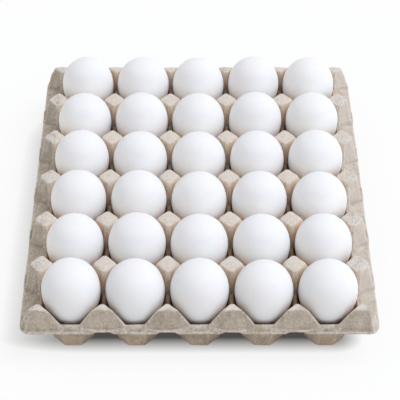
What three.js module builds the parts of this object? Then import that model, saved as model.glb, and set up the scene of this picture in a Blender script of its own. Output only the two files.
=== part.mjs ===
// An open tray of moulded paper pulp, five cups wide and six cups deep, with an egg standing
// blunt end up in every cup.
//
// Millimetres, +Z up. The origin is on the ground under the middle of the tray. X runs along
// the short side of the tray and Y along the long side.
//
// The tray is one sheet of even thickness. Its top skin and its underside are worked out for a
// quarter of a cup: U and V are the distances from the middle of the cup towards its two
// neighbours, and the flat faces of the sheet are planes in U, V and Z. A vertex is the point
// where three of these planes meet, and the quarters are turned and repeated over the tray.
import * as THREE from 'three';
import { mergeVertices } from 'three/addons/utils/BufferGeometryUtils.js';

// ---- the grid of cups ----
const COLUMNS = 5;
const ROWS = 6;
const PITCH = 47.5;
const HALF = PITCH / 2;

// ---- the sheet ----
const SHEET = 2.0; // thickness of the pulp
const FLOOR_Z = 1.9; // inside of a cup's flat bottom
const SADDLE_Z = 34; // dip of the ridge between two cups
const CAP_Z = 49.3; // edge of the top of a post
const CROWN_Z = 50.4; // middle of the top of a post
const CUP_FLOOR = 13.4; // from the middle of a cup to the edges of its octagonal bottom
const SHOULDER = 20.9; // from the middle of a cup to its corner walls, at the dip's height
const CAP_HALF = 9.2; // half the diagonal of a post's square top
const RIDGE = 2.4; // width of the ridge between two cups

// ---- the rim ----
const LIP_CREASE_Z = 31.5; // where a post's outer face meets the lip
const LIP_DIP_Z = 29.3; // where the face under a dip meets the lip
const LIP_POST_Z = 31.0; // top of the lip's edge at a post
const LIP_CUP_Z = 28.8; // top of the lip's edge beside a cup
const LIP_THICK = 1.3;
const LIP_UNDERCUT = 0.25;
const ARCH_FLAT = 5.5; // half the flat top of the arch under a post
const ARCH_FOOT = 8.5; // half the width of that arch at its foot
const CORNER_RADIUS = 8;

// ends (front and back): distances from the middle of the last row of cups
const END_CAP_Z = 47.8; // edge of the top of a half post
const END_CROWN_Z = 48.7; // highest point of the top of a half post
const END_CUT = 21.05; // outer face of the half posts, at a full post's height
const END_CREASE = 25.25; // the same face where it meets the lip
const END_DIP = 23.6; // outer edge of the dip's ridge
const END_DIP_HALF = 5; // half the length of that edge
const END_DIP_FOOT = 26.05; // where the face under the dip meets the lip
const END_DIP_FOOT_HALF = 8;
const END_BASE_HALF = 14; // half the width of a half post's outer face, at the lip
const END_RIM = 27.25; // the tray's edge

// sides: distances from the line through the outermost posts
const SIDE_CUT = 8.0;
const SIDE_CREASE = 12.25;
const SIDE_DIP_FOOT = 12.85;
const SIDE_RIM = 14.2;
const SIDE_UNDER_FOOT = 11.4;
const SIDE_UNDER_Z = 27.6;

// the four corners, where the end posts' faces meet the sides
const CORNER_CREASE_Z = 30.3;
const CORNER_CHAMFER_TOP = 35.4; // from the middle of the corner cup, at the cap's height
const CORNER_CHAMFER_FOOT = 41.4; // the same at the corner's crease
const CORNER_LIP_Z = 28.6;

// ---- the eggs ----
const EGG_LENGTH = 57;
const EGG_WIDTH = 43.8;
const EGG_SHIFT = 4; // how far the widest ring lies above the middle of the length
const EGG_Z = 41.6; // middle of the length
const EGG_SIDES = 16;
const EGG_RINGS = 9;
const EGG_SEED = 4574176;
const LENGTH_SPREAD = 1.0;
const WIDTH_SPREAD = 0.35;
const HEIGHT_SPREAD = 0.9;
const TILT_SPREAD = THREE.MathUtils.degToRad(1.6);

const PULP = new THREE.MeshStandardMaterial({ name: 'pulp', color: 0xb9aea0, roughness: 0.95, metalness: 0 });
const SHELL = new THREE.MeshStandardMaterial({ name: 'eggshell', color: 0xf4f3f1, roughness: 0.5, metalness: 0 });

const RIGHT_ANGLE = Math.PI / 2;

// ---- planes in U, V and Z ----

// The points at `reach` from the middle of the cup along `heading` at the height `level`, and
// `lean` further out for each millimetre up. Its normal points up.
function wall(heading, reach, level, lean) {
  const normal = new THREE.Vector3(-Math.cos(heading), -Math.sin(heading), lean);
  if (lean < 0) {
    normal.negate();
  }
  const through = new THREE.Vector3(reach * Math.cos(heading), reach * Math.sin(heading), level);
  return new THREE.Plane().setFromNormalAndCoplanarPoint(normal.normalize(), through);
}

function towardsU(reach, level, lean) {
  return wall(0, reach, level, lean);
}

function towardsV(reach, level, lean) {
  return wall(RIGHT_ANGLE, reach, level, lean);
}

function towardsPost(reach, level, lean) {
  return wall(RIGHT_ANGLE / 2, reach, level, lean);
}

function leanBetween(reachA, levelA, reachB, levelB) {
  return (reachB - reachA) / (levelB - levelA);
}

function level(z) {
  return new THREE.Plane(new THREE.Vector3(0, 0, 1), -z);
}

function atU(u) {
  return new THREE.Plane(new THREE.Vector3(1, 0, 0), -u);
}

function atV(v) {
  return new THREE.Plane(new THREE.Vector3(0, 1, 0), -v);
}

// The lower face of a sheet whose upper face is `plane`
function under(plane) {
  return new THREE.Plane(plane.normal.clone(), plane.constant + SHEET);
}

// The mirror image of a plane in the line of posts U = HALF
function beyondPosts(plane) {
  const { x, y, z } = plane.normal;
  return new THREE.Plane(new THREE.Vector3(-x, y, z), plane.constant + x * PITCH);
}

// The point where three planes meet
function corner(a, b, c) {
  const bc = new THREE.Vector3().crossVectors(b.normal, c.normal);
  const ca = new THREE.Vector3().crossVectors(c.normal, a.normal);
  const ab = new THREE.Vector3().crossVectors(a.normal, b.normal);
  const volume = a.normal.dot(bc);
  return bc.multiplyScalar(-a.constant)
    .addScaledVector(ca, -b.constant)
    .addScaledVector(ab, -c.constant)
    .divideScalar(volume);
}

function point(u, v, z) {
  return new THREE.Vector3(u, v, z);
}

// The same point seen from the other neighbour: U and V change places
function swapped(p) {
  return point(p.y, p.x, p.z);
}

// ---- the flat faces of the sheet ----
const MIDDLE_U = atU(0);
const MIDDLE_V = atV(0);
const POST_U = atU(HALF);
const POST_V = atV(HALF);
const RIDGE_EDGE = HALF - RIDGE / 2;
const RIDGE_U = atU(RIDGE_EDGE);
const RIDGE_BEYOND = atU(HALF + RIDGE / 2);

const FLOOR = level(FLOOR_Z);
const SADDLE = level(SADDLE_Z);
const GROUND = level(0);

const SIDE_LEAN = leanBetween(CUP_FLOOR, FLOOR_Z, RIDGE_EDGE, SADDLE_Z);
const CORNER_LEAN = leanBetween(CUP_FLOOR, FLOOR_Z, SHOULDER, SADDLE_Z);
const CAP_REACH = (PITCH - CAP_HALF) / Math.SQRT2;
const SLOPE_LEAN = leanBetween(SHOULDER, SADDLE_Z, CAP_REACH, CAP_Z);

const WALL_U = towardsU(CUP_FLOOR, FLOOR_Z, SIDE_LEAN);
const WALL_V = towardsV(CUP_FLOOR, FLOOR_Z, SIDE_LEAN);
const WALL_CORNER = towardsPost(CUP_FLOOR, FLOOR_Z, CORNER_LEAN);
const SLOPE = towardsPost(SHOULDER, SADDLE_Z, SLOPE_LEAN);
const SLOPE_BEYOND = beyondPosts(SLOPE);

// the ridge that climbs from the dip to a post, along the line U = HALF
const CREST = towardsV(SHOULDER * Math.SQRT2 - RIDGE_EDGE, SADDLE_Z, SLOPE_LEAN * Math.SQRT2);

const END_FACE = towardsV(END_CUT, CAP_Z, leanBetween(END_CUT, CAP_Z, END_CREASE, LIP_CREASE_Z));
const SIDE_FACE = towardsU(HALF + SIDE_CUT, CAP_Z,
  leanBetween(SIDE_CUT, CAP_Z, SIDE_CREASE, LIP_CREASE_Z));
const SIDE_PANEL = towardsU(HALF + RIDGE / 2, SADDLE_Z,
  leanBetween(RIDGE / 2, SADDLE_Z, SIDE_DIP_FOOT, LIP_DIP_Z));
const CHAMFER = towardsPost(CORNER_CHAMFER_TOP, CAP_Z,
  leanBetween(CORNER_CHAMFER_TOP, CAP_Z, CORNER_CHAMFER_FOOT, CORNER_CREASE_Z));

// ---- collecting faces ----

// A skin is a list of triangles in U, V and Z. `side` is 1 for the top skin, whose faces look
// up, and -1 for the underside, whose faces look down.
class Skin {
  constructor() {
    this.triangles = [];
  }

  triangle(side, a, b, c) {
    const turn = (b.x - a.x) * (c.y - a.y) - (b.y - a.y) * (c.x - a.x);
    this.triangles.push(turn * side > 0 ? [a, b, c] : [a, c, b]);
  }

  // A flat face, given by its corners in order
  face(side, ...corners) {
    const outline = corners.map((p) => new THREE.Vector2(p.x, p.y));
    for (const [i, j, k] of THREE.ShapeUtils.triangulateShape(outline, [])) {
      this.triangle(side, corners[i], corners[j], corners[k]);
    }
  }

  // Triangles that all meet in the first point
  fan(side, tip, ...edge) {
    for (let i = 0; i + 1 < edge.length; i += 1) {
      this.triangle(side, tip, edge[i], edge[i + 1]);
    }
  }

  // A band between two lines of points that run the same way
  band(side, first, second) {
    let i = 0;
    let j = 0;
    while (i + 1 < first.length || j + 1 < second.length) {
      const canFirst = i + 1 < first.length;
      const canSecond = j + 1 < second.length;
      const stepFirst = canFirst ? first[i + 1].distanceTo(second[j]) : Infinity;
      const stepSecond = canSecond ? second[j + 1].distanceTo(first[i]) : Infinity;
      if (stepFirst <= stepSecond) {
        this.triangle(side, first[i], first[i + 1], second[j]);
        i += 1;
      } else {
        this.triangle(side, first[i], second[j + 1], second[j]);
        j += 1;
      }
    }
  }
}

// ---- the quarter of a cup ----

const TOP = 1;
const UNDERSIDE = -1;

// Vertices of the top skin towards the neighbour in U
const floorEdge = corner(WALL_U, FLOOR, MIDDLE_V);
const floorCorner = corner(WALL_U, WALL_CORNER, FLOOR);
const dipEdge = corner(RIDGE_U, SADDLE, MIDDLE_V);
const dipEnd = corner(RIDGE_U, WALL_CORNER, SADDLE);
const dipMiddle = corner(POST_U, SADDLE, MIDDLE_V);
const crestFoot = corner(POST_U, CREST, SADDLE);

// and of the underside
const footEdge = corner(under(WALL_U), GROUND, MIDDLE_V);
const footCorner = corner(under(WALL_U), under(WALL_CORNER), GROUND);
const grooveMiddle = corner(under(WALL_U), POST_U, MIDDLE_V);
const grooveEnd = corner(under(WALL_U), under(WALL_CORNER), POST_U);
const hollowFoot = corner(under(WALL_CORNER), under(SLOPE), POST_U);

// The top of a post: the plane of its cap, the points where the climbing ridge meets it, the
// plane below the cap, and the point where that ends the hollow in the post
function postTop(capZ) {
  const cap = level(capZ);
  const ceiling = under(cap);
  return {
    cap,
    edge: corner(RIDGE_U, CREST, cap),
    middle: corner(POST_U, CREST, cap),
    outer: corner(RIDGE_BEYOND, CREST, cap),
    ceiling,
    hollow: corner(under(SLOPE), ceiling, POST_U),
  };
}

const fullPost = postTop(CAP_Z);
const halfPost = postTop(END_CAP_Z);

// The walls and the half ridge towards U, up to the top of `post`
function addCup(skin, post) {
  const middle = point(0, 0, FLOOR_Z);
  skin.face(TOP, middle, floorEdge, floorCorner, swapped(floorCorner), swapped(floorEdge));
  skin.face(TOP, floorCorner, dipEnd, swapped(dipEnd), swapped(floorCorner));
  skin.face(TOP, floorEdge, dipEdge, dipEnd, floorCorner);
  skin.face(TOP, dipEdge, dipMiddle, crestFoot, dipEnd);
  skin.face(TOP, dipEnd, crestFoot, post.middle, post.edge);
  skin.face(TOP, ...[floorEdge, dipEdge, dipEnd, floorCorner].map(swapped));

  const underMiddle = point(0, 0, 0);
  skin.face(UNDERSIDE, underMiddle, footEdge, footCorner, swapped(footCorner), swapped(footEdge));
  skin.face(UNDERSIDE, footEdge, grooveMiddle, grooveEnd, footCorner);
}

// A quarter with another cup beyond it in V
function addInnerQuarter(skin) {
  addCup(skin, fullPost);
  const { edge, middle, ceiling, hollow } = fullPost;
  const crown = point(HALF, HALF, CROWN_Z);
  skin.face(TOP, ...[dipEdge, dipMiddle, crestFoot, dipEnd].map(swapped));
  skin.face(TOP, ...[dipEnd, crestFoot, middle, edge].map(swapped));
  skin.face(TOP, dipEnd, edge, swapped(edge), swapped(dipEnd));
  skin.fan(TOP, crown, middle, edge, swapped(edge), swapped(middle));

  const hollowMiddle = corner(POST_U, POST_V, ceiling);
  skin.face(UNDERSIDE, ...[footEdge, grooveMiddle, grooveEnd, footCorner].map(swapped));
  skin.face(UNDERSIDE, footCorner, grooveEnd, hollowFoot,
    swapped(hollowFoot), swapped(grooveEnd), swapped(footCorner));
  skin.face(UNDERSIDE, hollowFoot, hollow, swapped(hollow), swapped(hollowFoot));
  skin.face(UNDERSIDE, hollow, hollowMiddle, swapped(hollow));
}

// The lip's outer edge beside a post: a flat arch over the gap between two feet. `rim` makes a
// point of the edge from its distance to the middle of the cup and its height.
function archedEdge(rim) {
  return [
    rim(0, LIP_CUP_Z),
    rim(HALF - ARCH_FOOT, LIP_CUP_Z),
    rim(HALF - ARCH_FLAT, LIP_POST_Z),
    rim(HALF, LIP_POST_Z),
  ];
}

// The lip: its top from `crease` to `edge`, its thickness, and its underside up to `underCrease`
function addLip(skin, crease, edge, lowerEdge, underCrease) {
  skin.band(TOP, crease, edge);
  skin.band(UNDERSIDE, edge, lowerEdge);
  skin.band(UNDERSIDE, lowerEdge, underCrease);
}

// Vertices that the end quarters share with the corners
const endUnder = under(END_FACE);
const endCrown = corner(POST_U, END_FACE, level(END_CROWN_Z));
const endUnderCap = corner(POST_U, endUnder, halfPost.ceiling);
const endUnderCrease = corner(POST_U, endUnder, under(WALL_V));

// A quarter whose V side is the front or the back of the tray. `creaseZ` is the height at which
// the outer face of the half post meets the lip, and `edge` is the lip's outer edge.
function addEndQuarter(skin, creaseZ, edge) {
  addCup(skin, halfPost);
  const saddleInner = swapped(dipEdge);
  const saddleEnd = swapped(dipEnd);
  const saddleOuter = point(0, END_DIP, SADDLE_Z);
  const saddleTurn = point(END_DIP_HALF, END_DIP, SADDLE_Z);
  const crestAcross = towardsU(dipEnd.y, SADDLE_Z, SLOPE_LEAN * Math.SQRT2);
  const crestTop = corner(crestAcross, END_FACE, atV(RIDGE_EDGE));
  const crestBottom = corner(crestAcross, END_FACE, SADDLE);
  const capCorner = corner(SLOPE, END_FACE, halfPost.cap);
  const faceFoot = corner(END_FACE, POST_U, level(creaseZ));
  const faceSide = corner(END_FACE, atU(HALF - END_BASE_HALF), level(LIP_CREASE_Z));
  const dipFoot = point(0, END_DIP_FOOT, LIP_DIP_Z);
  const dipFootTurn = point(END_DIP_FOOT_HALF, END_DIP_FOOT, LIP_DIP_Z);

  skin.face(TOP, saddleInner, saddleEnd, saddleTurn, saddleOuter);
  skin.face(TOP, saddleEnd, crestBottom, saddleTurn);
  skin.face(TOP, saddleEnd, crestTop, crestBottom);
  skin.face(TOP, dipEnd, halfPost.edge, capCorner, crestTop, saddleEnd);
  skin.fan(TOP, endCrown, halfPost.middle, halfPost.edge, capCorner);
  skin.face(TOP, endCrown, capCorner, crestTop, crestBottom, faceSide, faceFoot);
  skin.face(TOP, saddleOuter, saddleTurn, dipFootTurn, dipFoot);
  skin.band(TOP, [saddleTurn, crestBottom], [dipFootTurn, faceSide]);

  const wallCrease = corner(under(WALL_V), endUnder, MIDDLE_U);
  const wallEnd = corner(under(WALL_V), endUnder, under(WALL_CORNER));
  const hollowEnd = corner(under(WALL_CORNER), under(SLOPE), endUnder);
  const hollowCap = corner(under(SLOPE), endUnder, halfPost.ceiling);
  skin.face(UNDERSIDE, swapped(footEdge), swapped(footCorner), wallEnd, wallCrease);
  skin.face(UNDERSIDE, footCorner, grooveEnd, hollowFoot, hollowEnd, wallEnd, swapped(footCorner));
  skin.face(UNDERSIDE, hollowFoot, halfPost.hollow, hollowCap, hollowEnd);
  skin.face(UNDERSIDE, halfPost.hollow, endUnderCap, hollowCap);
  skin.face(UNDERSIDE, endUnderCap, hollowCap, hollowEnd, wallEnd, endUnderCrease);

  addLip(skin, [dipFoot, dipFootTurn, faceSide, faceFoot], edge, edge.map(loweredEnd),
    [wallCrease, wallEnd, endUnderCrease]);
}

function endRim(u, z) {
  return point(u, END_RIM, z);
}

function loweredEnd(p) {
  return point(p.x, p.y - LIP_UNDERCUT, p.z - LIP_THICK);
}

function sideRim(v, z) {
  return point(HALF + SIDE_RIM, v, z);
}

function loweredSide(p) {
  return point(p.x - LIP_UNDERCUT, p.y, p.z - LIP_THICK);
}

// ---- the side of the tray, beyond the outermost posts ----

const sideUnder = under(SIDE_FACE);
const slopeBeyondUnder = beyondPosts(under(SLOPE));
const ridgeOuter = corner(RIDGE_BEYOND, SADDLE, MIDDLE_V);
const ridgeOuterEnd = corner(RIDGE_BEYOND, CREST, SADDLE);
const panelFoot = corner(SIDE_PANEL, level(LIP_DIP_Z), MIDDLE_V);
const panelCorner = corner(SIDE_PANEL, level(LIP_DIP_Z), SLOPE_BEYOND);
const faceCorner = corner(SIDE_FACE, SLOPE_BEYOND, level(LIP_CREASE_Z));
const panelUnder = towardsU(HALF, grooveMiddle.z,
  leanBetween(0, grooveMiddle.z, SIDE_UNDER_FOOT, SIDE_UNDER_Z));
const panelUnderFoot = corner(panelUnder, level(SIDE_UNDER_Z), MIDDLE_V);
const panelUnderCorner = corner(panelUnder, level(SIDE_UNDER_Z), slopeBeyondUnder);
const sideUnderCorner = corner(sideUnder, slopeBeyondUnder, level(LIP_POST_Z - LIP_THICK));

// The dip, the ridge that climbs to the top of `post`, and the panel below them
function addPanel(skin, post) {
  skin.face(TOP, dipMiddle, ridgeOuter, ridgeOuterEnd, crestFoot);
  skin.face(TOP, crestFoot, ridgeOuterEnd, post.outer, post.middle);
  skin.face(TOP, ridgeOuter, panelFoot, panelCorner, ridgeOuterEnd);
  skin.face(UNDERSIDE, grooveMiddle, grooveEnd, panelUnderCorner, panelUnderFoot);
  skin.face(UNDERSIDE, grooveEnd, hollowFoot, panelUnderCorner);
}

function addSide(skin) {
  addPanel(skin, fullPost);
  const { cap, middle, outer, ceiling, hollow } = fullPost;
  const crown = point(HALF, HALF, CROWN_Z);
  const capSide = corner(SIDE_FACE, SLOPE_BEYOND, cap);
  const capTip = corner(SIDE_FACE, POST_V, cap);
  const faceMiddle = corner(SIDE_FACE, POST_V, level(LIP_CREASE_Z));
  skin.fan(TOP, crown, middle, outer, capSide, capTip);
  skin.face(TOP, ridgeOuterEnd, panelCorner, faceCorner, capSide, outer);
  skin.face(TOP, capSide, faceCorner, faceMiddle, capTip);

  const hollowMiddle = corner(POST_U, POST_V, ceiling);
  const hollowSide = corner(sideUnder, slopeBeyondUnder, ceiling);
  const hollowTip = corner(sideUnder, POST_V, ceiling);
  const underMiddle = corner(sideUnder, POST_V, level(LIP_POST_Z - LIP_THICK));
  skin.face(UNDERSIDE, hollow, hollowMiddle, hollowTip, hollowSide);
  skin.face(UNDERSIDE, hollowFoot, hollow, hollowSide, sideUnderCorner, panelUnderCorner);
  skin.face(UNDERSIDE, hollowSide, hollowTip, underMiddle, sideUnderCorner);

  const edge = archedEdge(sideRim);
  addLip(skin, [panelFoot, panelCorner, faceCorner, faceMiddle], edge, edge.map(loweredSide),
    [panelUnderFoot, panelUnderCorner, sideUnderCorner, underMiddle]);
}

// The side quarter at a corner of the tray, where the lip turns round to the end
function addCorner(skin) {
  addPanel(skin, halfPost);
  const { cap, middle, outer, ceiling, hollow } = halfPost;
  const crease = level(CORNER_CREASE_Z);
  const topEnd = corner(END_FACE, CHAMFER, cap);
  const topSide = corner(SLOPE_BEYOND, CHAMFER, cap);
  const turn = corner(SLOPE_BEYOND, CHAMFER, SIDE_FACE);
  const footSide = corner(SIDE_FACE, CHAMFER, crease);
  const footEnd = corner(END_FACE, CHAMFER, crease);
  const footMiddle = corner(END_FACE, POST_U, crease);
  skin.fan(TOP, endCrown, middle, outer, topSide, topEnd);
  skin.face(TOP, ridgeOuterEnd, panelCorner, faceCorner, turn, topSide, outer);
  skin.face(TOP, topEnd, topSide, turn, footSide, footEnd);
  skin.face(TOP, turn, faceCorner, footSide);
  skin.face(TOP, endCrown, topEnd, footEnd, footMiddle);

  const chamferUnder = under(CHAMFER);
  const underCrease = level(endUnderCrease.z);
  const underTop = corner(endUnder, slopeBeyondUnder, ceiling);
  const underTurnEnd = corner(endUnder, slopeBeyondUnder, chamferUnder);
  const underTurnSide = corner(sideUnder, slopeBeyondUnder, chamferUnder);
  const underFootSide = corner(sideUnder, chamferUnder, underCrease);
  const underFootEnd = corner(endUnder, chamferUnder, underCrease);
  skin.face(UNDERSIDE, hollow, endUnderCap, underTop);
  skin.face(UNDERSIDE, hollowFoot, hollow, underTop, underTurnEnd, underTurnSide,
    sideUnderCorner, panelUnderCorner);
  skin.face(UNDERSIDE, underTurnEnd, underTurnSide, underFootSide, underFootEnd);
  skin.face(UNDERSIDE, endUnderCap, underTop, underTurnEnd, underFootEnd, endUnderCrease);
  skin.face(UNDERSIDE, underTurnSide, sideUnderCorner, underFootSide);

  const edge = [sideRim(0, LIP_CUP_Z), sideRim(HALF - ARCH_FOOT, LIP_CUP_Z)];
  const lower = edge.map(loweredSide);
  const centre = point(HALF + SIDE_RIM - CORNER_RADIUS, END_RIM - CORNER_RADIUS, CORNER_LIP_Z);
  for (let step = 0; step <= 4; step += 1) {
    const angle = (step * RIGHT_ANGLE) / 4;
    const out = point(Math.cos(angle), Math.sin(angle), 0);
    edge.push(centre.clone().addScaledVector(out, CORNER_RADIUS));
    const below = centre.clone().addScaledVector(out, CORNER_RADIUS - LIP_UNDERCUT);
    lower.push(below.setZ(CORNER_LIP_Z - LIP_THICK));
  }
  edge.push(endRim(HALF, CORNER_LIP_Z));
  lower.push(loweredEnd(endRim(HALF, CORNER_LIP_Z)));
  addLip(skin, [panelFoot, panelCorner, faceCorner, footSide, footEnd, footMiddle], edge, lower,
    [panelUnderFoot, panelUnderCorner, sideUnderCorner, underFootSide, underFootEnd,
      endUnderCrease]);
}

// ---- the tray ----

// The skin of one quarter, by where it lies on the tray
function quarterSkin(isEnd, isSide) {
  const skin = new Skin();
  if (isEnd && isSide) {
    const edge = archedEdge(endRim).slice(0, 2).concat(endRim(HALF, CORNER_LIP_Z));
    addEndQuarter(skin, CORNER_CREASE_Z, edge);
    addCorner(skin);
  } else if (isEnd) {
    addEndQuarter(skin, LIP_CREASE_Z, archedEdge(endRim));
  } else {
    addInnerQuarter(skin);
    if (isSide) {
      addSide(skin);
    }
  }
  return skin;
}

function cupCentre(column, row) {
  return new THREE.Vector2((column - (COLUMNS - 1) / 2) * PITCH, (row - (ROWS - 1) / 2) * PITCH);
}

function trayGeometry() {
  const positions = [];
  for (let column = 0; column < COLUMNS; column += 1) {
    for (let row = 0; row < ROWS; row += 1) {
      const centre = cupCentre(column, row);
      for (const signX of [-1, 1]) {
        for (const signY of [-1, 1]) {
          const isSide = signX < 0 ? column === 0 : column === COLUMNS - 1;
          const isEnd = signY < 0 ? row === 0 : row === ROWS - 1;
          for (const [a, b, c] of quarterSkin(isEnd, isSide).triangles) {
            const ordered = signX * signY > 0 ? [a, b, c] : [a, c, b];
            for (const p of ordered) {
              positions.push(centre.x + signX * p.x, centre.y + signY * p.y, p.z);
            }
          }
        }
      }
    }
  }
  const geometry = new THREE.BufferGeometry();
  geometry.setAttribute('position', new THREE.Float32BufferAttribute(positions, 3));
  return mergeVertices(geometry, 1e-3);
}

// ---- the eggs ----

// A repeatable source of numbers between -1 and 1
function randomSource(seed) {
  let state = seed;
  return () => {
    state = (Math.imul(state, 1664525) + 1013904223) >>> 0;
    return state / 2 ** 31 - 1;
  };
}

// Half the width of an egg at a height above the middle of its length
function eggRadius(height, length, width) {
  const across = length ** 2 - 4 * height ** 2;
  const along = length ** 2 - 8 * EGG_SHIFT * height + 4 * EGG_SHIFT ** 2;
  return (width / 2) * Math.sqrt(Math.max(across, 0) / along);
}

function eggGeometry(length, width) {
  const profile = [];
  for (let ring = 0; ring <= EGG_RINGS; ring += 1) {
    const height = (-length / 2) * Math.cos((ring * Math.PI) / EGG_RINGS);
    const isPole = ring === 0 || ring === EGG_RINGS;
    profile.push(new THREE.Vector2(isPole ? 0 : eggRadius(height, length, width), height));
  }
  return new THREE.LatheGeometry(profile, EGG_SIDES).rotateX(RIGHT_ANGLE);
}

function eggMesh(column, row, random) {
  const length = EGG_LENGTH + LENGTH_SPREAD * random();
  const width = EGG_WIDTH + WIDTH_SPREAD * random();
  const egg = new THREE.Mesh(eggGeometry(length, width), SHELL);
  const centre = cupCentre(column, row);
  egg.position.set(centre.x, centre.y, EGG_Z + HEIGHT_SPREAD * random());
  egg.rotation.set(TILT_SPREAD * random(), TILT_SPREAD * random(), 0);
  egg.name = `egg_row${row + 1}_col${column + 1}`;
  return egg;
}

const part = new THREE.Group();
const tray = new THREE.Mesh(trayGeometry(), PULP);
tray.name = 'tray';
part.add(tray);

const random = randomSource(EGG_SEED);
for (let row = 0; row < ROWS; row += 1) {
  for (let column = 0; column < COLUMNS; column += 1) {
    part.add(eggMesh(column, row, random));
  }
}

export default part;
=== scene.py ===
"""The looks of an open tray of moulded paper pulp with a white egg standing in every cup.

Metres, +Z up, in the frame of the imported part: the tray stands on the floor at Z = 0, with its
middle over the origin, its front towards -Y and its long side along Y.
"""

import math

import bmesh
import bpy
from mathutils import Matrix, Vector, noise
from mathutils.bvhtree import BVHTree
from mathutils.kdtree import KDTree


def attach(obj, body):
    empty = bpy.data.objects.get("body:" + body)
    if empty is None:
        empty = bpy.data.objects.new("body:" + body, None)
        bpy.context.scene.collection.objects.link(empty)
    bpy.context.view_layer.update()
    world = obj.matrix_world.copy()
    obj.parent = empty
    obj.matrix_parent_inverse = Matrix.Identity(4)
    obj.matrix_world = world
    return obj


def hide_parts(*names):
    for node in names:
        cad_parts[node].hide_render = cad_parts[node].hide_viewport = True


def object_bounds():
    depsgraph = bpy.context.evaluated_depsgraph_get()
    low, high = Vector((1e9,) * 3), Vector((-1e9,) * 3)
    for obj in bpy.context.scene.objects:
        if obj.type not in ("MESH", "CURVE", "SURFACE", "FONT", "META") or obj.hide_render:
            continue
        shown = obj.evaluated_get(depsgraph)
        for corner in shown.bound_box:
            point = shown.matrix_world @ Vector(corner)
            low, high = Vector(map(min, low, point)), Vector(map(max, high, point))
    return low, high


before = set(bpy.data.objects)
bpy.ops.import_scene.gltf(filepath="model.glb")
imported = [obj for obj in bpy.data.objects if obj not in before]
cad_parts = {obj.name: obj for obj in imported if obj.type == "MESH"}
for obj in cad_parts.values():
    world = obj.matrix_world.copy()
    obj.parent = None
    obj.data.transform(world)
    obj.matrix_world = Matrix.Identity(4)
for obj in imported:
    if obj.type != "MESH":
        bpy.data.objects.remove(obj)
cad_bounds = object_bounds()

MM = 0.001
BODY = "root"
EGG_NAMES = sorted(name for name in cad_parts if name.startswith("egg_"))

# ---- the camera ----
IMAGE_SIDE = 400  # pixels
FOCAL_PIXELS = 1338.1
SENSOR = 36.0
CAMERA_PLACE = Vector((-7.5, -777.3, 787.1)) * MM
CAMERA_PITCH = math.radians(44.52)  # below the horizon
CAMERA_YAW = math.radians(0.63)  # towards +X
CAMERA_ROLL = math.radians(0.44)

# ---- the pulp sheet ----
CUP_PITCH = 47.5 * MM
WELD = 0.01 * MM
FLAT_ANGLE = math.radians(1.0)
CREASE_ANGLE = math.radians(9)
ROUNDING = 0.85 * MM
RIM_WEIGHT = 0.3  # the rim's edge is rounded by this share
MOST_OFF_SHEET = 0.32 * MM
ROUNDING_SEGMENTS = 3
LONGEST_FOLD = 2.5 * MM  # of the edges that a folded face may lose
FOLD_PASSES = 3
GRID = CUP_PITCH / 9  # of the lines that divide the sheet for its dents
DENT_SIZE = 9 * MM  # of the sheet's large unevenness
DENT_DEPTH = 0.25 * MM
LUMP_SIZE = 2.5 * MM  # of the small lumps
LUMP_DEPTH = 0.08 * MM
LEAST_RIDGE = math.radians(22)
LEAST_CREASE = math.radians(12)
POINT_SPACING = 0.6 * MM  # along the ridges and creases
OUTER_FACES = Vector((15, 6.5)) * MM  # how far the tray's outer faces reach in from its edges
SHOULDER_HEIGHT = 47.5 * MM  # of the posts, under their caps
DEEP_HEIGHT = 42 * MM  # below it the painted shade in the cups is at its brownest
LIP_UNDERSIDE = 26 * MM
STREAK_STRETCH = (1, 1, 0.2)  # makes marks that run down the slopes
WANDER = 0.6 * MM  # of the marks along ridges and creases
CREASE_MARK = (0.6 * MM, 1.8 * MM)  # where the painted shade of a crease starts to fade and where it ends
RIDGE_MARK = (0.7 * MM, 1.5 * MM)
PULP_RELIEF = 0.22 * MM

# ---- the eggs ----
EGG_SHIFT = 4.0 * MM  # how far the widest ring lies above the middle of the length
EGG_STEPS = 64
EGG_RINGS = 36
PAINTED_BOUNCE_BAND = (64 * MM, 53 * MM)  # where the painted light on the shells begins and where it is full
BACK_ROWS = (-100 * MM, -95 * MM)  # where the rows behind the front one begin
RIGHT_SIDES = (0.9, 0.2)  # the normal's X where the painted light starts and where it is full
PORE_DEPTH = 0.04 * MM

# ---- the light ----
WORLD_STRENGTH = 0.62
KEY_PLACE = Vector((3.1, 0.0, 5.25))
KEY_SIZE = 4.5
KEY_POWER = 240  # watts
KEY_COLOUR = (0.93, 0.985, 1.07)

# ---- the floor, which glows beside the tray as painted light and only faintly under it as a painted shadow ----
FLOOR_REACH = 3.0
FLOOR_GREY = (0.15, 0.15, 0.15, 1)
FLOOR_GLOW = 0.825
UNDER_GLOW = 0.05  # painted shadow: the glow under the tray
# where the glow begins and where it is full, on each side of the tray; these limits draw the painted
# shadow's edge
GLOW_LEFT = (-88 * MM, -152.5 * MM)
GLOW_RIGHT = (102 * MM, 124 * MM)
GLOW_FRONT = (-126 * MM, -141 * MM)
GLOW_BACK = (90 * MM, 150 * MM)

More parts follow.
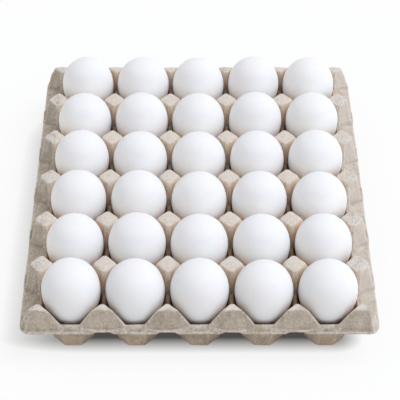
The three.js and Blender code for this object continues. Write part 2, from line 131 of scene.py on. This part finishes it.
# ---- colours (linear) ----
PULP_DARK = (0.22, 0.17, 0.12, 1)
PULP_LIGHT = (0.74, 0.665, 0.57, 1)
PULP_CUP_SHADE = (0.68, 0.52, 0.37, 1)  # painted shade: browner inside the cups
PULP_DEEP_SHADE = (0.55, 0.335, 0.185, 1)  # painted shade low down between the eggs
PULP_PAINTED_LIGHT_RIGHT = (0.73, 0.65, 0.60, 1)  # painted light on the right side, which faces the key light
PULP_UNDER_LIP_SHADE = (0.84, 0.78, 0.74, 1)  # painted shade: multiplies the colour on the feet, under the lip
PULP_WORN_AND_HIGHLIGHT = (0.84, 0.79, 0.735, 1)  # on the ridges: partly wear, partly a painted highlight
PULP_CAP_TONE_AND_LIGHT = (0.66, 0.62, 0.575, 1)  # on the caps of the posts: partly their own paler tone, partly painted light on their upward faces
PULP_CREASE_SHADE = (0.20, 0.125, 0.075, 1)  # painted shade in the creases
PULP_STAIN = (0.27, 0.18, 0.10, 1)
PULP_FLECK = (0.20, 0.13, 0.08, 1)
SHELL_WHITE = (0.815, 0.813, 0.825, 1)
SHELL_TINT = (0.797, 0.796, 0.81, 1)
SHELL_PAINTED_BOUNCE = (0.97, 0.955, 0.95, 1)  # painted light: paler low on the shells behind the front row, for the light the eggs throw on each other


# ---- meshes ----


def finished(bm, name, material):
    """Makes a smooth object of the bmesh that rides on the part and takes the slot's finish."""
    mesh = bpy.data.meshes.new(name)
    for face in bm.faces:
        face.smooth = True
    bm.to_mesh(mesh)
    bm.free()
    mesh.materials.append(material)
    piece = bpy.data.objects.new(name, mesh)
    bpy.context.scene.collection.objects.link(piece)
    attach(piece, BODY)
    return piece


def looks_up(face):
    return face.normal.z > 0


def weigh_creases(bm):
    """Gives each edge where the sheet bends the share of the rounding that it gets."""
    weights = bm.edges.layers.float.new("bevel_weight_edge")
    rim_edges = [edge for edge in bm.edges if len({looks_up(face) for face in edge.link_faces}) > 1]
    rim_faces = {face for edge in rim_edges for face in edge.link_faces if not looks_up(face)}
    rim_verts = {vert for face in rim_faces for vert in face.verts}
    for edge in bm.edges:
        if edge.calc_face_angle(0) > CREASE_ANGLE:
            edge[weights] = 1.0 if rim_verts.isdisjoint(edge.verts) else RIM_WEIGHT


def close_folds(bm, sharp):
    """Draws together the short edges of the faces that the rounding has folded over."""
    bm.normal_update()
    folded = []
    for face in bm.faces:
        sheet_normal = sharp.find_nearest(face.calc_center_median())[1]
        if face.normal.dot(sheet_normal) < 0:
            folded.append(face)
    edges = {edge for face in folded for edge in face.edges if edge.calc_length() < LONGEST_FOLD}
    bmesh.ops.collapse(bm, edges=list(edges))
    loose = [vert for vert in bm.verts if not vert.link_faces]
    bmesh.ops.delete(bm, geom=loose, context="VERTS")


def round_creases(bm):
    """Rounds the weighted edges of the sheet."""
    sharp = BVHTree.FromBMesh(bm)
    mesh = bpy.data.meshes.new("sharp_sheet")
    bm.to_mesh(mesh)
    sheet = bpy.data.objects.new("sharp_sheet", mesh)
    bpy.context.scene.collection.objects.link(sheet)
    bevel = sheet.modifiers.new("rounding", "BEVEL")
    bevel.limit_method = "WEIGHT"
    bevel.width = ROUNDING
    bevel.segments = ROUNDING_SEGMENTS
    bevel.use_clamp_overlap = False
    bm.clear()
    bm.from_object(sheet, bpy.context.evaluated_depsgraph_get())
    bpy.data.objects.remove(sheet)
    bpy.data.meshes.remove(mesh)
    for _ in range(FOLD_PASSES):
        close_folds(bm, sharp)
        for vert in bm.verts:  # the odd corner that the rounding threw off the sheet goes back on it
            place, _, _, distance = sharp.find_nearest(vert.co)
            if distance > MOST_OFF_SHEET:
                vert.co = place


def divide(bm):
    """Cuts the sheet along a grid of upright planes and some level ones."""
    low, high = cad_bounds
    for axis in range(3):
        normal = Vector((axis == 0, axis == 1, axis == 2))
        for step in range(math.ceil(low[axis] / GRID), math.floor(high[axis] / GRID) + 1):
            bmesh.ops.bisect_plane(
                bm,
                geom=bm.verts[:] + bm.edges[:] + bm.faces[:],
                dist=WELD,
                plane_co=normal * (step + 0.5) * GRID,
                plane_no=normal,
            )


def roughen(bm):
    """Dents and small lumps, as pulp has where it dried on its mould."""
    bm.normal_update()
    moves = []
    for vert in bm.verts:
        dent = noise.noise(vert.co / DENT_SIZE) * DENT_DEPTH
        lump = noise.noise(vert.co / LUMP_SIZE) * LUMP_DEPTH
        moves.append(vert.normal * (dent + lump))
    for vert, move in zip(bm.verts, moves):
        vert.co += move
        vert.co.z = max(vert.co.z, 0)  # the feet stand flat


def points_along(edges):
    """A search tree of points spaced closely along the edges."""
    points = []
    for edge in edges:
        start, end = (vert.co for vert in edge.verts)
        steps = math.ceil((end - start).length / POINT_SPACING)
        points += [start.lerp(end, step / steps) for step in range(steps + 1)]
    tree = KDTree(len(points))
    for index, point in enumerate(points):
        tree.insert(point, index)
    tree.balance()
    return tree


def find_edges(bm):
    """Search trees of the sheet's ridges and of its creases."""
    ridges = [edge for edge in bm.edges if edge.calc_face_angle_signed(0) > LEAST_RIDGE]
    creases = [edge for edge in bm.edges if edge.calc_face_angle_signed(0) < -LEAST_CREASE]
    return {"ridge": points_along(ridges), "crease": points_along(creases)}


def mark_edges(bm, trees):
    """Stores how far each vertex lies from the nearest ridge and the nearest crease."""
    for name, tree in trees.items():
        layer = bm.verts.layers.float.new(name)
        for vert in bm.verts:
            vert[layer] = tree.find(vert.co)[2]


def mark_sides(bm):
    """Stores which vertices lie inside the cups and on the underside, and which way they face; these also
    place the painted shade and painted light in the pulp's colour.
    """
    bm.normal_update()
    inside = bm.verts.layers.float.new("inside")
    underside = bm.verts.layers.float.new("underside")
    level = bm.verts.layers.float.new("level")
    rightward = bm.verts.layers.float.new("rightward")
    reach = cad_bounds[1].xy - OUTER_FACES
    for vert in bm.verts:
        is_over_cups = abs(vert.co.x) < reach.x and abs(vert.co.y) < reach.y
        is_under = vert.normal.z < 0 and vert.co.z < LIP_UNDERSIDE
        vert[inside] = float(is_over_cups and not is_under)
        vert[underside] = float(is_under)
        vert[level] = max(0, vert.normal.z)
        vert[rightward] = max(0, vert.normal.x) * (vert.co.x > reach.x)


def add_tray(material):
    bm = bmesh.new()
    bm.from_mesh(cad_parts["tray"].data)
    bmesh.ops.remove_doubles(bm, verts=bm.verts, dist=WELD)
    bmesh.ops.dissolve_limit(bm, angle_limit=FLAT_ANGLE, verts=bm.verts, edges=bm.edges)
    edges = find_edges(bm)
    weigh_creases(bm)
    round_creases(bm)
    divide(bm)
    mark_edges(bm, edges)
    mark_sides(bm)
    roughen(bm)
    tray = finished(bm, "pulp_tray", material)
    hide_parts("tray")


def egg_outline(length, width):
    """Half of an egg's outline in the XZ plane, from the narrow end up to the blunt end."""
    outline = []
    for ring in range(EGG_RINGS + 1):
        height = -length / 2 * math.cos(math.pi * ring / EGG_RINGS)
        across = max(length**2 - 4 * height**2, 0)
        along = length**2 - 8 * EGG_SHIFT * height + 4 * EGG_SHIFT**2
        outline.append(Vector((width / 2 * math.sqrt(across / along), 0, height)))
    return outline


def add_egg(name, material):
    corners = [vert.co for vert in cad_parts[name].data.vertices]
    blunt_end = max(corners, key=lambda co: co.z)
    narrow_end = min(corners, key=lambda co: co.z)
    middle = (blunt_end + narrow_end) / 2
    axis = (blunt_end - narrow_end).normalized()
    width = 2 * max((co - middle).cross(axis).length for co in corners)

    bm = bmesh.new()
    outline = [bm.verts.new(co) for co in egg_outline((blunt_end - narrow_end).length, width)]
    edges = [bm.edges.new(pair) for pair in zip(outline, outline[1:])]
    bmesh.ops.spin(
        bm,
        geom=outline + edges,
        cent=Vector(),
        axis=Vector((0, 0, 1)),
        angle=math.tau,
        steps=EGG_STEPS,
        use_merge=True,
    )
    bmesh.ops.remove_doubles(bm, verts=bm.verts, dist=WELD)
    bmesh.ops.recalc_face_normals(bm, faces=bm.faces)
    turn = Vector((0, 0, 1)).rotation_difference(axis).to_matrix().to_4x4()
    bmesh.ops.transform(bm, matrix=Matrix.Translation(middle) @ turn, verts=bm.verts)
    egg = finished(bm, f"white_{name}", material)
    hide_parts(name)


# ---- materials ----


def linked(tree, kind, settings=None, **inputs):
    """Adds a node. Inputs that are sockets are linked, and the others are set."""
    node = tree.nodes.new(kind)
    for name, value in (settings or {}).items():
        setattr(node, name, value)
    for name, value in inputs.items():
        socket = node.inputs[name.replace("_", " ")]
        if isinstance(value, bpy.types.NodeSocket):
            tree.links.new(value, socket)
        else:
            socket.default_value = value
    return node


def new_material(name):
    material = bpy.data.materials.new(name)
    material.use_nodes = True
    return material, material.node_tree, material.node_tree.nodes["Principled BSDF"]


def maths(tree, operation, *values):
    """The result of a Math node on numbers and sockets."""
    node = tree.nodes.new("ShaderNodeMath")
    node.operation = operation
    for socket, value in zip(node.inputs, values):
        if isinstance(value, bpy.types.NodeSocket):
            tree.links.new(value, socket)
        else:
            socket.default_value = value
    return node.outputs[0]


def spread(tree, value, low, high, new_low=0.0, new_high=1.0):
    """Maps a value between two limits to two others, and holds it there."""
    node = linked(tree, "ShaderNodeMapRange", Value=value, From_Min=low, From_Max=high)
    node.inputs["To Min"].default_value = new_low
    node.inputs["To Max"].default_value = new_high
    return node.outputs["Result"]


def blended(tree, share, first, second, blend_type="MIX"):
    """The colour between two colours, by a share from 0 to 1."""
    node = tree.nodes.new("ShaderNodeMix")
    node.data_type = "RGBA"
    node.blend_type = blend_type
    colours = [socket for socket in node.inputs if socket.type == "RGBA"]
    for socket, value in ((node.inputs["Factor"], share), (colours[0], first), (colours[1], second)):
        if isinstance(value, bpy.types.NodeSocket):
            tree.links.new(value, socket)
        else:
            socket.default_value = value
    return next(socket for socket in node.outputs if socket.type == "RGBA")


def new_group(name, inputs, outputs):
    """A node group with number and vector inputs and number outputs, given by name."""
    group = bpy.data.node_groups.new(name, "ShaderNodeTree")
    for label in inputs:
        kind = "NodeSocketVector" if label == "Vector" else "NodeSocketFloat"
        group.interface.new_socket(label, in_out="INPUT", socket_type=kind)
    for label in outputs:
        group.interface.new_socket(label, in_out="OUTPUT", socket_type="NodeSocketFloat")
    return group, group.nodes.new("NodeGroupInput").outputs, group.nodes.new("NodeGroupOutput").inputs


def grain_group():
    """Fine winding grain and broad patches, both from 0 to 1."""
    group, inputs, outputs = new_group("grain", ["Vector", "Grain Scale", "Patch Scale"], ["Grain", "Patch"])
    grain = linked(
        group,
        "ShaderNodeTexNoise",
        Vector=inputs["Vector"],
        Scale=inputs["Grain Scale"],
        Detail=5.0,
        Roughness=0.65,
        Distortion=0.4,
    )
    patch = linked(
        group, "ShaderNodeTexNoise", Vector=inputs["Vector"], Scale=inputs["Patch Scale"], Detail=3.0
    )
    group.links.new(spread(group, grain.outputs["Fac"], 0.32, 0.68), outputs["Grain"])
    group.links.new(spread(group, patch.outputs["Fac"], 0.3, 0.7), outputs["Patch"])
    return group


def placed(tree, group, **inputs):
    return linked(tree, "ShaderNodeGroup", {"node_tree": group}, **inputs).outputs


def sheet_colour(tree, marks, height, fibres, streaks):
    """Mottled grey pulp, with painted shade browner inside the cups, browner still low down in them and
    darker on the feet under the lip, and painted light paler on the right side.
    """
    tone = maths(tree, "MULTIPLY", fibres["Grain"], 0.4)
    tone = maths(tree, "ADD", tone, maths(tree, "MULTIPLY", streaks["Grain"], 0.25))
    tone = maths(tree, "ADD", tone, maths(tree, "MULTIPLY", streaks["Patch"], 0.35))
    colour = blended(tree, tone, PULP_DARK, PULP_LIGHT)
    # painted light: the outer faces on the right side are paler
    colour = blended(tree, spread(tree, marks["rightward"], 0.1, 0.6, 0.0, 0.5), colour, PULP_PAINTED_LIGHT_RIGHT)
    # painted shade: the pulp is browner inside the cups
    cup_shade = maths(tree, "MULTIPLY", marks["inside"], spread(tree, streaks["Grain"], 0.0, 1.0, 0.5, 1.0))
    colour = blended(tree, cup_shade, colour, PULP_CUP_SHADE)
    # painted shade: browner still low down in the cups
    depth = maths(tree, "MULTIPLY", marks["inside"], spread(tree, height, SHOULDER_HEIGHT, DEEP_HEIGHT))
    colour = blended(tree, depth, colour, PULP_DEEP_SHADE)
    # painted shade: the feet under the lip are darker
    return blended(tree, marks["underside"], colour, PULP_UNDER_LIP_SHADE, "MULTIPLY")


def wear_and_painted_light_colour(tree, colour, marks, height, fibres, streaks):
    """Painted shade in the creases, ridges paled partly by wear and partly by a painted highlight, caps
    paled partly by painted light on their upward faces, and brown stains where the pulp is open to them.
    """
    wander = spread(tree, fibres["Patch"], 0.0, 1.0, -WANDER, WANDER)
    from_crease = maths(tree, "ADD", marks["crease"], wander)
    # painted shade: the pulp darkens near the creases, less so on the outer faces
    by_crease = spread(tree, from_crease, *CREASE_MARK, 0.75, 0.0)
    by_crease = maths(tree, "MULTIPLY", by_crease, spread(tree, marks["inside"], 0.0, 1.0, 0.35, 1.0))
    colour = blended(tree, by_crease, colour, PULP_CREASE_SHADE)

    # paler ridges: partly wear, partly a painted highlight
    by_ridge = spread(tree, maths(tree, "ADD", marks["ridge"], wander), *RIDGE_MARK, 0.45, 0.0)
    worn_and_highlit = maths(tree, "MULTIPLY", by_ridge, spread(tree, fibres["Grain"], 0.1, 0.8, 0.3, 0.95))
    worn_and_highlit = maths(tree, "MULTIPLY", worn_and_highlit, spread(tree, marks["underside"], 0.0, 1.0, 1.0, 0.2))
    colour = blended(tree, worn_and_highlit, colour, PULP_WORN_AND_HIGHLIGHT)

    # painted light and own tone: the caps' upward faces are paler
    is_high = spread(tree, height, SHOULDER_HEIGHT - 1 * MM, SHOULDER_HEIGHT)
    on_cap = maths(tree, "MULTIPLY", is_high, spread(tree, marks["level"], 0.75, 0.95))
    cap_share = maths(tree, "MULTIPLY", on_cap, spread(tree, fibres["Grain"], 0.2, 0.7, 0.3, 1.0))
    colour = blended(tree, cap_share, colour, PULP_CAP_TONE_AND_LIGHT)

    open_to_stain = maths(tree, "MAXIMUM", by_ridge, spread(tree, marks["inside"], 0.0, 1.0, 0.45, 0.0))
    patches = spread(tree, streaks["Patch"], 0.6, 0.88, 0.0, 0.8)
    return blended(tree, maths(tree, "MULTIPLY", open_to_stain, patches), colour, PULP_STAIN)


def flecked_colour(tree, colour, place, fibres):
    """Scattered dark flecks with rough edges."""
    flecks = linked(tree, "ShaderNodeTexVoronoi", Vector=place, Scale=300.0)
    rough_edge = maths(tree, "MULTIPLY", fibres["Grain"], 0.2)
    is_near = maths(tree, "LESS_THAN", maths(tree, "ADD", flecks.outputs["Distance"], rough_edge), 0.2)
    is_chosen = maths(tree, "GREATER_THAN", flecks.outputs["Color"], 0.7)
    fleck = maths(tree, "MULTIPLY", maths(tree, "MULTIPLY", is_near, is_chosen), 0.6)
    return blended(tree, fleck, colour, PULP_FLECK)


def pulp_material(grain):
    material, tree, shader = new_material("pulp")
    place = linked(tree, "ShaderNodeTexCoord").outputs["Object"]
    height = linked(tree, "ShaderNodeSeparateXYZ", Vector=place).outputs["Z"]
    fibres = placed(tree, grain, Vector=place, Grain_Scale=620.0, Patch_Scale=85.0)
    stretched = linked(tree, "ShaderNodeVectorMath", {"operation": "MULTIPLY"})
    tree.links.new(place, stretched.inputs[0])
    stretched.inputs[1].default_value = STREAK_STRETCH
    streaks = placed(tree, grain, Vector=stretched.outputs[0], Grain_Scale=200.0, Patch_Scale=90.0)
    marks = {
        name: linked(tree, "ShaderNodeAttribute", {"attribute_name": name}).outputs["Fac"]
        for name in ("ridge", "crease", "inside", "underside", "level", "rightward")
    }

    colour = sheet_colour(tree, marks, height, fibres, streaks)
    colour = wear_and_painted_light_colour(tree, colour, marks, height, fibres, streaks)
    colour = flecked_colour(tree, colour, place, fibres)
    tree.links.new(colour, shader.inputs["Base Color"])

    relief = maths(tree, "ADD", fibres["Grain"], maths(tree, "MULTIPLY", streaks["Grain"], 0.8))
    bump = linked(tree, "ShaderNodeBump", Height=relief, Distance=PULP_RELIEF, Strength=0.8)
    tree.links.new(bump.outputs["Normal"], shader.inputs["Normal"])
    shader.inputs["Roughness"].default_value = 0.95
    shader.inputs["Specular IOR Level"].default_value = 0.1
    return material


def eggshell_material(grain):
    material, tree, shader = new_material("eggshell")
    coordinates = linked(tree, "ShaderNodeTexCoord").outputs
    place = coordinates["Object"]
    pores = placed(tree, grain, Vector=place, Grain_Scale=1100.0, Patch_Scale=60.0)
    shell = blended(tree, pores["Patch"], SHELL_WHITE, SHELL_TINT)

    axes = linked(tree, "ShaderNodeSeparateXYZ", Vector=place).outputs
    rightward = linked(tree, "ShaderNodeSeparateXYZ", Vector=coordinates["Normal"]).outputs["X"]
    # painted light: the shells behind the front row are paler low down, except on their right sides
    low = maths(tree, "MULTIPLY", spread(tree, axes["Z"], *PAINTED_BOUNCE_BAND), spread(tree, axes["Y"], *BACK_ROWS))
    low = maths(tree, "MULTIPLY", low, spread(tree, rightward, *RIGHT_SIDES))
    tree.links.new(blended(tree, low, shell, SHELL_PAINTED_BOUNCE), shader.inputs["Base Color"])

    bump = linked(tree, "ShaderNodeBump", Height=pores["Grain"], Distance=PORE_DEPTH, Strength=0.5)
    tree.links.new(bump.outputs["Normal"], shader.inputs["Normal"])
    shader.inputs["Roughness"].default_value = 0.62
    shader.inputs["Specular IOR Level"].default_value = 0.18
    shader.inputs["Subsurface Weight"].default_value = 0.7
    shader.inputs["Subsurface Radius"].default_value = (1.0, 0.8, 0.68)
    shader.inputs["Subsurface Scale"].default_value = 0.014
    return material


# ---- the studio ----


def add_floor():
    bm = bmesh.new()
    bmesh.ops.create_grid(bm, x_segments=2, y_segments=2, size=FLOOR_REACH)
    mesh = bpy.data.meshes.new("floor")
    bm.to_mesh(mesh)
    bm.free()
    material, tree, shader = new_material("floor")
    place = linked(tree, "ShaderNodeTexCoord").outputs["Object"]
    axes = linked(tree, "ShaderNodeSeparateXYZ", Vector=place).outputs
    # painted light and painted shadow: the floor glows around the tray and only faintly under it
    squares = []
    for axis, low, high in (("X", GLOW_LEFT, GLOW_RIGHT), ("Y", GLOW_FRONT, GLOW_BACK)):
        reach = maths(tree, "ADD", spread(tree, axes[axis], *low), spread(tree, axes[axis], *high))
        squares.append(maths(tree, "MULTIPLY", reach, reach))
    away = maths(tree, "SQRT", maths(tree, "ADD", *squares))
    glow = spread(tree, away, 0.0, 1.0, UNDER_GLOW, FLOOR_GLOW)
    tree.links.new(glow, shader.inputs["Emission Color"])
    shader.inputs["Emission Strength"].default_value = 1.0
    shader.inputs["Base Color"].default_value = FLOOR_GREY
    shader.inputs["Roughness"].default_value = 0.9
    shader.inputs["Specular IOR Level"].default_value = 0.0
    mesh.materials.append(material)
    floor = bpy.data.objects.new("floor", mesh)
    bpy.context.scene.collection.objects.link(floor)


def add_key_light():
    """A large soft disk, high on the right and aimed at the tray."""
    data = bpy.data.lights.new("key", "AREA")
    data.shape = "DISK"
    data.size = KEY_SIZE
    data.energy = KEY_POWER
    data.color = KEY_COLOUR
    light = bpy.data.objects.new("key", data)
    light.location = KEY_PLACE
    light.rotation_euler = (-KEY_PLACE).to_track_quat("-Z", "Y").to_euler()
    bpy.context.scene.collection.objects.link(light)


def add_surroundings():
    """Even white light from all round."""
    world = bpy.data.worlds.new("studio")
    world.use_nodes = True
    background = world.node_tree.nodes["Background"]
    background.inputs["Color"].default_value = (1, 1, 1, 1)
    background.inputs["Strength"].default_value = WORLD_STRENGTH
    bpy.context.scene.world = world


def add_camera():
    data = bpy.data.cameras.new("camera")
    data.sensor_width = SENSOR
    data.lens = FOCAL_PIXELS / IMAGE_SIDE * SENSOR
    camera = bpy.data.objects.new("camera", data)
    camera.matrix_world = (
        Matrix.Translation(CAMERA_PLACE)
        @ Matrix.Rotation(-CAMERA_YAW, 4, "Z")
        @ Matrix.Rotation(math.pi / 2 - CAMERA_PITCH, 4, "X")
        @ Matrix.Rotation(CAMERA_ROLL, 4, "Z")
    )
    bpy.context.scene.collection.objects.link(camera)
    bpy.context.scene.camera = camera


add_camera()
add_surroundings()
add_key_light()
add_floor()
grain = grain_group()
add_tray(pulp_material(grain))
eggshell = eggshell_material(grain)
for egg_name in EGG_NAMES:
    add_egg(egg_name, eggshell)
bpy.context.scene.view_settings.view_transform = "Standard"
